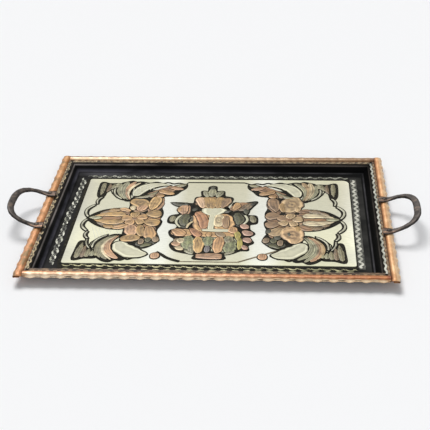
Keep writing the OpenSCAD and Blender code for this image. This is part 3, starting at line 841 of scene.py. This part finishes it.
def keylines(name, groups, side):
    """Black outlines: each blade's own shape, a little wider and lower."""
    sheet = Sheet()
    for blades, _, grow, line_w in groups.values():
        for blade in blades:
            add_blade(sheet, blade, side, grow + line_w, PLATE_Z, KEY_H, "flat", KEYLINE, cols=2, rows=12)
    return sheet.build(name)


for word, (side, groups) in SPRAYS.items():
    for group, (blades, slot, grow, _) in groups.items():
        relief(f"{group}_{word}_relief", blades, side, f"{group}_{word}", grow)
    keylines(f"spray_outlines_{word}", groups, side)
for group, (blades, slot, grow, _) in MIDDLE.items():
    relief(f"{group}_relief", blades, 1, group, grow)
keylines("bouquet_outlines", MIDDLE, 1)


# ---------------------------------------------------------------- grounds under the ornament

spray_outline = [
    (74, 62), (73, 50), (74, 30), (71, 18), (71, 8), (73, -1), (70, -8), (71, -18), (74, -28),
    (74, -38), (70, -48), (69, -58), (74, -66), (82, -74), (90, -76), (99, -67), (110, -67),
    (119, -58), (118, -44), (119, -27), (133, -29), (146, -25), (158, -18), (171, -4), (171, 4),
    (158, 18), (146, 24), (132, 27), (119, 26), (118, 40), (118, 56), (110, 65), (101, 68),
    (98, 76), (88, 79), (80, 82), (68, 84), (62, 93), (46, 99), (45, 88), (52, 78), (60, 66),
]
top_fan = [
    (119, 50), (123, 62), (122, 78), (117, 91), (106, 102), (112, 105), (118, 104), (124, 107),
    (132, 104), (139, 100), (141, 88), (140, 75), (134, 61), (127, 49),
]
low_fan = [
    (119, -45), (128, -58), (131, -72), (127, -86), (109, -101), (112, -106), (120, -105),
    (127, -110), (137, -106), (147, -93), (149, -76), (145, -60), (136, -48), (128, -43),
]
top_corner = [
    (142, 99), (156, 99), (168, 103), (170, 90), (169, 66), (165, 57), (160, 60), (158, 72),
    (155, 80), (147, 84), (139, 89),
]
low_corner = [
    (145, -84), (156, -80), (161, -70), (166, -61), (172, -63), (174, -84), (174, -106),
    (160, -102), (146, -101), (143, -93),
]
bouquet_outline = [
    (-28, 59), (-20, 63), (-21, 78), (-12, 78), (-11, 91), (-2, 92), (0, 78), (10, 78), (12, 64),
    (23, 59), (22, 46), (17, 34), (23, 26), (26, 45), (38, 44), (58, 49), (52, 34), (47, 22),
    (45, 12), (50, 10), (58, 8), (59, -10), (50, -14), (50, -27), (57, -38), (50, -48), (56, -60),
    (49, -68), (50, -79), (40, -80), (30, -87), (19, -91), (19, -101), (-18, -101), (-18, -91),
    (-34, -86), (-46, -80), (-52, -67), (-47, -54), (-54, -44), (-56, -32), (-48, -26), (-47, -14),
    (-60, -10), (-59, 7), (-47, 13), (-51, 24), (-49, 36), (-62, 44), (-46, 44), (-32, 42), (-29, 47),
]


def ground(name, outlines, side):
    """Flat pieces under a group of blades, with rounded-off outlines."""
    sheet = Sheet()
    for outline in outlines:
        path = flip(beside(smooth_path(outline, True, 4), GROUND_GROW), side)
        area = sum(a[0] * b[1] - b[0] * a[1] for a, b in zip(path, path[1:] + path[:1]))
        if area < 0:
            path = path[::-1]
        sheet_prism(sheet, path, PLATE_Z, PLATE_Z + GROUND_H, KEYLINE)
    return sheet.build(name)


def underlay(name, blades, side):
    """Lower petals that show between the ones on top."""
    sheet = Sheet()
    for blade in blades:
        add_blade(sheet, blade, side, 0, PLATE_Z, UNDER_H, "low" if blade[7] == "low" else "under",
                  TINTS[blade[8]])
    return sheet.build(name)


underlay("bouquet_underlay", bouquet_under, 1)
for word, (side, _) in SPRAYS.items():
    underlay(f"spray_underlay_{word}", spray_under, side)
    ground(f"spray_ground_{word}", [spray_outline], side)
    ground(f"leaf_grounds_{word}", [top_fan, low_fan, top_corner, low_corner], side)
ground("bouquet_ground", [bouquet_outline], 1)


# ---------------------------------------------------------------- chased lines on the plate

def chased_lines():
    """Black lines that frame the three fields of the plate."""
    sheet = Sheet()
    lines = [
        ([(-45, 99), (-43, 104.5), (38, 104.5), (48, 99)], 2.6, KEYLINE),
        ([(-68, -85), (-60, -92), (-54, -98), (-46, -103), (-36, -107.5)], 5.0, KEYLINE),
        ([(-38, -107.5), (38, -107.5)], 1.8, BROWN_LINE),
        ([(38, -107.5), (74, -87), (88, -79)], 2.6, BROWN_LINE),
    ]
    for side in (-1, 1):
        lines += [
            (flip([(47, 98), (56, 102), (64, 100), (72, 103.5), (80, 101), (89, 104.5), (98, 101.5),
                   (107, 103), (112, 98), (120, 86), (122, 74)], side), 3.2, KEYLINE),
            (flip([(82, -93), (88, -99), (96, -100), (103, -104), (110, -99), (120, -93), (129, -80),
                   (131, -70)], side), 3.2, KEYLINE),
            (flip([(162, 63), (166, 50), (166, 40), (173, 30), (176, 18), (173, 4), (172, 0), (173, -4),
                   (176, -18), (173, -30), (167, -38), (168, -46), (164, -56), (166, -66), (160, -78),
                   (154, -82)], side), 1.6, KEYLINE),
            (flip([(130, 50), (141, 58), (149, 70), (154, 84)], side), 1.8, KEYLINE),
            (flip([(136, -42), (149, -52), (157, -64), (158, -76)], side), 1.8, KEYLINE),
        ]
    for points, width, material in lines:
        path = smooth_path(points) if len(points) > 4 else points
        ribbon(sheet, path, width, PLATE_Z, PLATE_Z + LINE_H, material)
    return sheet.build("chased_field_lines")


def fan_ribs():
    """Shallow ribs that fan out over the lower left field, and short ones on the upper left scroll."""
    sheet = Sheet()
    for k in range(8):
        spread = k / 7
        path = [(-162 + 34 * spread, -24 - 8 * spread), (-150 + 32 * spread, -62 + 10 * spread)]
        ribbon(sheet, path, 1.0, PLATE_Z, PLATE_Z + 0.12, RIB)
    for k in range(7):
        at = -92 - 4.6 * k
        path = [(at, 93 - 0.25 * k * k), (at + 1.5, 80 - 0.6 * k * k)]
        ribbon(sheet, path, 0.9, PLATE_Z + EDGE_H, PLATE_Z + EDGE_H + 0.35, RIB)
    return sheet.build("fan_ribs")


chased_lines()
fan_ribs()


# ---------------------------------------------------------------- bright-cut bands on the pan

SIDES = ("front", "right", "back", "left")
BAND_PITCH = 14.4
BAND_MIDS = (121.5, 193.2, 122.7, 198.9)      # each side's floor band, from the tray's middle
FLANGE_MIDS = (146.8, 220.6, 147.0, 221.5)    # each side's line of marks on the flange
BAND_HALF = (186, 116)                        # half a floor band's length, on a long side and an end
FLANGE_HALF = (219, 146)                      # the same on the flange
TEETH_PITCH = 9.6
CUT_H = 0.12                                  # bright cuts above the lacquer
FAINT_H = 0.06                                # faint lines, and the foot of marks on a ground
FILM_H = 0.03                                 # thin grounds on the floor

def on_side(points, side, middle):
    """Lays points (along, outward) along one side of a rectangle, its middle line that far out."""
    out = []
    for along, outward in points:
        if side == 0:
            out.append((along, -middle - outward))
        elif side == 1:
            out.append((middle + outward, along))
        elif side == 2:
            out.append((-along, middle + outward))
        else:
            out.append((-middle - outward, -along))
    return out


def wave(length, pitch, swing, steps=8):
    """Points (along, across) of a sine wave centred on its length."""
    turns = round(length / pitch)
    n = turns * steps
    return [(length * (k / n - 0.5), swing * math.sin(2 * math.pi * turns * k / n)) for k in range(n + 1)]


def spread_out(half, pitch):
    """Evenly spaced places along a side, about pitch apart."""
    count = round(2 * half / pitch)
    return [2 * half * ((k + 0.5) / count - 0.5) for k in range(count)]

def mark(sheet, side, middle, z, a, b, bend, width, material):
    """One cut mark between two points (along, outward)."""
    (x0, y0), (x1, y1) = on_side([a, b], side, middle)
    add_blade(sheet, (x0, y0, x1, y1, bend, width, EGG), 1, 0, z, CUT_H, "flat", material, cols=4, rows=8)


def strip(sheet, side, middle, half, inner, outer, z, height, material):
    """A plain flat strip, from inner to outer of a side's middle line."""
    corners = on_side([(-half, inner), (half, inner), (half, outer), (-half, outer)], side, middle)
    sheet_prism(sheet, corners[::-1], z, z + height, material)


def drift(side, along):
    """How far a floor band strays outward from its middle line, being laid out by eye."""
    if side == 3:
        return 1.3 - 3.2 * min(max(-along / 50, 0), 1) - 0.8 * min(max((along - 60) / 40, 0), 1)
    if side == 0:
        return 0.01 * along
    if side == 1:
        return 0.8 * math.sin(along * 0.03)
    return 0.0


def twisted_marks(sheet, side, half, materials):
    """Slanted strokes along a floor band, like the strands of a rope."""
    pitch = BAND_PITCH / 2
    for k, at in enumerate(spread_out(half, pitch)):
        size = 1 + 0.7 * noise.noise(Vector((at * 0.37, side * 5.1, 0.0)))
        away = drift(side, at)
        reach = 0.85 * pitch * size
        rise = 2.6 * size
        mark(sheet, side, BAND_MIDS[side], FLOOR_Z + FAINT_H, (at - reach, away + rise),
             (at + reach, away - rise), -0.16 * (-1) ** k, 2.3 * size, materials[k % len(materials)])

def floor_band(side):
    """The cut border on the floor: rows of olive strokes in front, a zigzag at the right, waves
    behind, and a rope of slanted strokes at the left."""
    sheet = Sheet()
    middle = BAND_MIDS[side]
    half = BAND_HALF[side % 2]

    def film(reach, inner, outer, material, height=FILM_H):
        strip(sheet, side, middle, reach, inner, outer, FLOOR_Z, height, material)

    def wavy_line(pitch, swing, width, height, material, shift=0.0):
        path = [(a, o + drift(side, a)) for a, o in wave(2 * half, pitch, swing)]
        ribbon(sheet, on_side(path, side, middle + shift), width, FLOOR_Z, FLOOR_Z + height, material)

    if side == 0:
        film(half + 4, -7.4, 5.0, KEYLINE, 0.05)
        for at in spread_out(half, BAND_PITCH):
            size = 1 + 0.6 * noise.noise(Vector((at * 0.09, 3.1, 0.0)))
            away = drift(side, at)
            strokes = (((at - 5.8, away - 3.6 * size), (at + 5.0, away - 1.8 * size), -0.2, 2.3),
                       ((at - 4.2, 4.6), (at + 4.6, 4.9), 0.08, 1.9),
                       ((at + 3.0, away - 4.0), (at + 8.4, away - 1.8), 0.1, 1.4))
            for a, b, bend, width in strokes:
                mark(sheet, side, middle, FLOOR_Z + FAINT_H, a, b, bend, width * size, OLIVE)
    elif side == 1:
        film(half + 3, -4.4, 4.6, WORN)
        wavy_line(12.4, -1.8, 3.2, CUT_H, CUT)
        wavy_line(17.4, 1.2, 1.3, FAINT_H, FAINT, 2.9)
        film(half, -6.0, -4.4, KEYLINE)
    elif side == 2:
        for shift, width, metal in ((0.5, 1.4, FAINT), (0.0, 2.4, DIM)):
            path = [(a + shift * BAND_PITCH, o + 0.5 * noise.noise(Vector((a * 0.06, 4.0, 0.0))))
                    for a, o in wave(2 * half, BAND_PITCH, -2.3)]
            ribbon(sheet, on_side(path, side, middle), width, FLOOR_Z, FLOOR_Z + CUT_H, metal)
        film(half + 3, -9.0, -4.4, KEYLINE)
    else:
        wavy_line(BAND_PITCH / 2, 3.0, 1.2, FAINT_H, FAINT)
        twisted_marks(sheet, side, half, (CUT, CUT, DIM, CUT, CUT, FAINT, CUT))
        film(half, -11.4, -6.8, KEYLINE)
    return sheet.build(f"floor_band_{SIDES[side]}")

def flange_band(side):
    """A wavy line on an end's flange or short strokes on a long one, a brown ground, and teeth
    against the rim."""
    sheet = Sheet()
    middle = FLANGE_MIDS[side]
    at_end = side % 2
    half = FLANGE_HALF[at_end]
    edge = (HALF_L if at_end else HALF_W) - RIM_W - middle
    if at_end:
        width, metal = (2.6, CUT) if side == 1 else (2.0, SPECKLED)
        path = [(a, o + 0.7 * noise.noise(Vector((a * 0.07, side, 0.0))))
                for a, o in wave(2 * half, 14.0, 0.9)]
        ribbon(sheet, on_side(path, side, middle), width, FLANGE_Z, FLANGE_Z + CUT_H, metal)
        strip(sheet, side, middle, half + 6, 1.6, edge, FLANGE_Z, 0.05, DULL)
    else:
        strip(sheet, side, middle, half, -2.4, edge, FLANGE_Z, 0.04, UMBER_GROUND)
        for at in spread_out(half, BAND_PITCH if side == 0 else 10.2):
            bright = -30 < at < 140
            metal = (CREAM if bright else DULL) if side == 0 else SPECKLED
            mark(sheet, side, middle, FLANGE_Z + 0.05, (at - 4.8, 0), (at + 4.8, 0), 0,
                 3.2 if bright else 2.4, metal)
    for at in spread_out(half, TEETH_PITCH):
        wide = 3.0 + noise.noise(Vector((at * 0.2, side * 3.7, 0.0)))
        tooth = [(at - wide, edge), (at + wide, edge),
                 (at + wide - 0.8, edge - 2.6), (at - wide + 0.8, edge - 2.6)]
        sheet_prism(sheet, on_side(tooth, side, middle), FLANGE_Z, FLANGE_Z + CUT_H,
                    SPECKLED if side == 3 else TEETH)
    return sheet.build(f"flange_band_{SIDES[side]}")

for side in range(4):
    floor_band(side)
    flange_band(side)


# ---------------------------------------------------------------- rim strips

# For each strip, front, right, back and left; pairs are for where it starts and where it ends.
FOOT_SHADE = (0.4, 0.8, 0.0, 0.1)                                     # painted shade along its inner foot
LIP_HIGHLIGHT = ((0.95, 0.95), (0.95, 0.95), (0.7, 0.1), (0.25, 0.25))  # painted highlight on its outer lip
CROWN_HIGHLIGHT = ((0.7, 0.0), (0.95, 0.95), (0.7, 0.0), (0.15, 0.15))  # painted highlight on its crown
FOOT_HIGHLIGHT = ((0, 0), (0, 0), (0.0, 1.0), (0, 0))                   # painted highlight on its inner slope
LIP_DROP = (1.2, 1.2, 0.8, 1.2)                                      # its lip below its crown
LIP_SHADE = (0, 0, 0.9, 0)                                           # painted shade on its lip, growing towards its end
RINGS_PER_LOBE = 14
DENTED_ABOVE = FLANGE_Z + 0.5

def rim_section(lobe, fine, side, t):
    """The strip's closed section as (inward, z, hollow, crest). lobe is 1 on a lobe and -1 between
    two; fine does the same for the smaller crimps of the outer lip, whose crests take a painted
    highlight. hollow is painted shade and crest is painted highlight."""
    dip = (1 - lobe) / 2
    nick = (1 - fine) / 2
    out = 1.5 * dip + 0.4 * nick
    drop = LIP_DROP[side]
    lip = RIM_TOP - drop - 0.3 * dip - 0.2 * nick
    low = RIM_LOW + 0.7 * dip + 0.5 * nick
    under = FLANGE_Z - PAN_T
    # Painted shade in the dips between lobes and, in rough, in the nicks of the lip.
    shade = 0.12 * dip
    rough = 0.25 * nick
    lip_shade = LIP_SHADE[side] * t
    painted_highlight, crown, foot = [pair[side][0] * (1 - t) + pair[side][1] * t
                           for pair in (LIP_HIGHLIGHT, CROWN_HIGHLIGHT, FOOT_HIGHLIGHT)]
    crest = min(painted_highlight + 0.3 * max(lobe, 0.0) + 0.2 * max(fine, 0.0), 1.0)
    painted_shade = FOOT_SHADE[side]
    # Row by row, hollow is painted shade, full under the strip and where it meets the flange, and crest is
    # painted highlight.
    return [
        (out + 0.3, low, 0.2, 0.8 * crest), (out, lip - 2.0, rough, crest),
        (out + 0.5, lip - 1.1, rough + lip_shade, crest),
        (out + 1.2, lip - 0.35, rough + lip_shade, 0.5 * (crest + crown)),
        (2.6 + 0.5 * dip, lip + 0.2, shade + rough + lip_shade, crown),
        (3.6, RIM_TOP - 0.5 * drop - 0.2 * dip, shade + rough + lip_shade, 0.9 * crown),
        (4.5, RIM_TOP - 0.28 * drop - 0.15 * dip, shade + lip_shade, 0.6 * crown),
        (5.5, RIM_TOP - 0.13 * drop - 0.1 * dip, shade + 0.5 * lip_shade, 0.3 * crown),
        (6.5, RIM_TOP - 0.04, 0.8 * shade, 0), (7.6, RIM_TOP, 0.5 * shade, 0),
        (8.8, RIM_TOP - 0.18, 0.5 * shade, 0.8 * foot),
        (10.0, RIM_TOP - 0.6, 0.05 + 0.4 * painted_shade + 0.6 * shade, foot),
        (11.2, RIM_TOP - 1.35, 0.05 + 0.7 * painted_shade + 0.4 * rough, foot),
        (12.0, RIM_TOP - 2.1, 0.15 + painted_shade + rough, foot),
        (RIM_W, FLANGE_Z + 0.02, 1.0, 0), (RIM_INSET, FLANGE_Z + 0.02, 1.0, 0), (RIM_INSET, under, 1.0, 0),
        (9.5, under, 0.6, 0), (9.5, under - 0.9, 0.4, 0), (out + 2.0, under - 0.9, 0.5, 0),
        (out + 1.2, low, 0.95, 0),
    ]


def rim_strip(side):
    """A folded strip with crimped lobes; the end strips run past the long ones."""
    long_side = side % 2 == 0
    half = HALF_L - RIM_W if long_side else HALF_W
    edge = HALF_W if long_side else HALF_L
    metal = RIM_METALS[side]
    lobes = round(2 * half / LOBE_PITCH)
    n = lobes * RINGS_PER_LOBE
    sheet = Sheet()
    rings = []
    for k in range(n + 1):
        along = 2 * half * (k / n - 0.5)
        wobble = noise.noise(Vector((along * 0.05, side * 7.3, 0.0)))
        phase = 2 * math.pi * lobes * k / n + 0.9 * wobble
        lobe = -math.cos(phase)
        lobe = math.copysign(abs(lobe) ** 0.8, lobe) * (0.85 + 0.3 * wobble)
        uneven = 0.75 + 0.5 * noise.noise(Vector((along * 0.08, 4.0, side)))
        fine = math.cos(2 * phase + 1.5 * wobble) * uneven
        close = 0.0 if long_side else max(0.0, 1 - min(k, n - k) / 3) ** 2
        # Painted shade near the ends of a long strip, where it meets the end strips.
        corner = 0.5 * max(0.0, 1 - min(along + half, half - along) / 7) if long_side else 0.0
        ring = []
        for inward, z, hollow, crest in rim_section(lobe, fine, side, k / n):
            if z > DENTED_ABOVE:
                z = z + 0.12 * noise.noise(Vector((along * 0.35, inward * 0.5, side * 3.1)))
            if z > DENTED_ABOVE:
                z = z + (RIM_TOP - 2.6 - z) * 0.5 * close
            (x, y), = on_side([(along, -inward)], side, edge)
            ring.append(sheet.vert(x, y, z, crest, min(hollow + corner, 1.0)))
        rings.append(ring)
    count = len(rings[0])
    for a, b in zip(rings, rings[1:]):
        for j in range(count):
            i = (j + 1) % count
            sheet.face([a[i], b[i], b[j], a[j]], metal)
    sheet.face(rings[0][::-1], metal)
    sheet.face(rings[-1], metal)
    return sheet.build(f"rim_{SIDES[side]}_crimped", [f"rim_{SIDES[side]}"], 60)

for side in range(4):
    rim_strip(side)


# ---------------------------------------------------------------- handles

TILT = math.radians(21)
SQUARENESS = 0.72
TAB_T = 2.6
BAR_T = 4.0
LEG_W = 5.5
GRIP_W = 9.5
TAB_W = 15.0
TAB_L = 15.5
BAR_X = HALF_L - 0.5           # where the bars' middle lines start
TAB_RINGS = 9
BAR_STEPS = 72
BAR_AROUND = 28                # points round a bar
HANDLES = {"left": (-1, 86, 38, -3), "right": (1, 84, 36, -10)}


def bar_rings(span, reach):
    """Rings along a handle from tab to tab: middle, up direction, width, height and groove depth."""
    up = Vector((-math.sin(TILT), 0, math.cos(TILT)))
    out = Vector((math.cos(TILT), 0, math.sin(TILT)))
    flat = Vector((0, 0, 1))
    rings = []
    for k in range(TAB_RINGS):
        u = k / (TAB_RINGS - 1)
        middle = Vector((HALF_L - TAB_L + 1 + u * (TAB_L - 2.5), span / 2, RIM_TOP + TAB_T / 2))
        rings.append((middle, flat, TAB_W - 9.0 * max(u - 0.4, 0) ** 1.1, TAB_T, 1 - u * 0.6))
    mirrored = [(Vector((m.x, -m.y, m.z)), *rest) for m, *rest in rings]
    origin = Vector((BAR_X, 0, RIM_TOP + (TAB_T - BAR_T) / 2)) + up * BAR_T / 2
    for k in range(3, BAR_STEPS - 2):
        a = math.pi * k / BAR_STEPS
        c, s = math.cos(a), math.sin(a)
        lx = reach * s ** SQUARENESS
        ly = span / 2 * math.copysign(abs(c) ** SQUARENESS, c)
        blend = min(1.0, lx / 8)
        rings.append((origin + out * lx + Vector((0, ly, 0)), flat.lerp(up, blend).normalized(),
                      LEG_W + (GRIP_W - LEG_W) * s ** 2, TAB_T + (BAR_T - TAB_T) * blend, 0.0))
    return rings + mirrored[::-1]

def handle(word):
    """A forged bar whose flattened ends are the grooved tabs."""
    side, span, reach, shift = HANDLES[word]
    rings = bar_rings(span, reach)
    sheet = Sheet()
    ids = []
    for k, (middle, up, width, height, groove) in enumerate(rings):
        a = rings[max(k - 1, 0)][0]
        b = rings[min(k + 1, len(rings) - 1)][0]
        along = (b - a).normalized()
        across = up.cross(along).normalized()
        up = along.cross(across).normalized()
        ring = []
        for j in range(BAR_AROUND):
            angle = 2 * math.pi * j / BAR_AROUND
            c, s = math.cos(angle), math.sin(angle)
            u = math.copysign(abs(c) ** 0.45, c)
            v = math.copysign(abs(s) ** 0.6, s)
            # On the tabs, ridge is painted light: a painted highlight at the lips of the grooves and
            # painted shade in them.
            lift = groove * 0.4 * (math.cos(u * 3.5 * math.pi) - 1) if v > 0.5 and abs(u) < 0.93 else 0.0
            ridge = 0.45 + 0.55 * -lift / 0.8 - 0.45 * (lift > -0.05) if groove and v > 0.5 else 0.0
            place = middle + across * (u * width / 2) + up * (v * height / 2 + lift)
            rough = noise.noise(place * 0.16) * 0.35 + noise.noise(place * 0.5) * 0.14
            loose = 0.25 if groove else 1.0
            place = place + (across * u + up * v) * rough * loose
            # A painted highlight on top of the bar, painted shade on its underside and sides.
            painted_light = 1.0 - max(v, 0) * 0.9
            ring.append(sheet.vert(side * place.x, place.y + shift, place.z, painted_light, max(ridge, 0.0)))
        ids.append(ring)
    skin(sheet, ids, IRON, side > 0)
    return sheet.build(f"handle_{word}_forged", [f"handle_{word}"], 40)


for word in HANDLES:
    handle(word)


# ---------------------------------------------------------------- CAD nodes that keep their shape

def finish_node(node, material):
    """Gives a CAD piece that stays as it is its material."""
    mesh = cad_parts[node].data
    mesh.materials.clear()
    mesh.materials.append(material)


finish_node("tray_pan", LACQUER)
finish_node("ground_plate", PLATE)
for word in HANDLES:
    finish_node(f"handle_rivets_{word}", IRON)
    finish_node(f"rivet_burrs_{word}", COPPER)


# ---------------------------------------------------------------- floor, light and camera

def stage_floor():
    """The pale floor under the tray."""
    mesh = bpy.data.meshes.new("floor")
    size = 6.0
    corners = [(-size, -size, 0), (size, -size, 0), (size, size, 0), (-size, size, 0)]
    mesh.from_pydata(corners, [], [(0, 1, 2, 3)])
    material, _, shader = new_material("pale_floor", 0.0, 0.9, specular=0.1)
    shader.inputs["Base Color"].default_value = (0.93, 0.93, 0.935, 1)
    mesh.materials.append(material)
    floor = bpy.data.objects.new("floor", mesh)
    bpy.context.scene.collection.objects.link(floor)


def sun_light(name, toward, strength, spread):
    """A distant soft light from the direction toward; spread is its angle in degrees."""
    data = bpy.data.lights.new(name, "SUN")
    data.energy = strength
    data.angle = math.radians(spread)
    light = bpy.data.objects.new(name, data)
    light.rotation_euler = (-Vector(toward)).to_track_quat("-Z", "Y").to_euler()
    bpy.context.scene.collection.objects.link(light)


def world_light():
    """Soft white light from all round."""
    world = bpy.data.worlds.new("studio")
    world.use_nodes = True
    background = world.node_tree.nodes["Background"]
    background.inputs["Color"].default_value = (0.96, 0.98, 1.0, 1)
    background.inputs["Strength"].default_value = 0.3
    bpy.context.scene.world = world


def camera():
    """The viewing direction, from its elevation, azimuth, roll and distance to a target."""
    elevation, azimuth, roll = math.radians(29.9), math.radians(4.74), math.radians(-1.8)
    distance = 1.392
    target = Vector((0.0015, 0.0115, 0.0018))
    back = Vector((math.sin(azimuth) * math.cos(elevation), -math.cos(azimuth) * math.cos(elevation),
                   math.sin(elevation)))
    right = Vector((0, 0, 1)).cross(back).normalized()
    up = back.cross(right)
    x_axis = math.cos(roll) * right + math.sin(roll) * up
    y_axis = back.cross(x_axis)
    turn = Matrix((x_axis, y_axis, back)).transposed().to_4x4()
    data = bpy.data.cameras.new("camera")
    data.lens = 85.4
    data.sensor_width = 36
    data.clip_start = 0.05
    data.clip_end = 50
    view = bpy.data.objects.new("camera", data)
    view.matrix_world = Matrix.Translation(target + back * distance) @ turn
    bpy.context.scene.collection.objects.link(view)
    bpy.context.scene.camera = view


stage_floor()
world_light()
sun_light("key", (-0.22, 0.62, 0.95), 2.34, 30)
sun_light("fill", (0.15, -0.9, 0.26), 1.05, 60)
camera()
bpy.context.scene.view_settings.view_transform = "Standard"
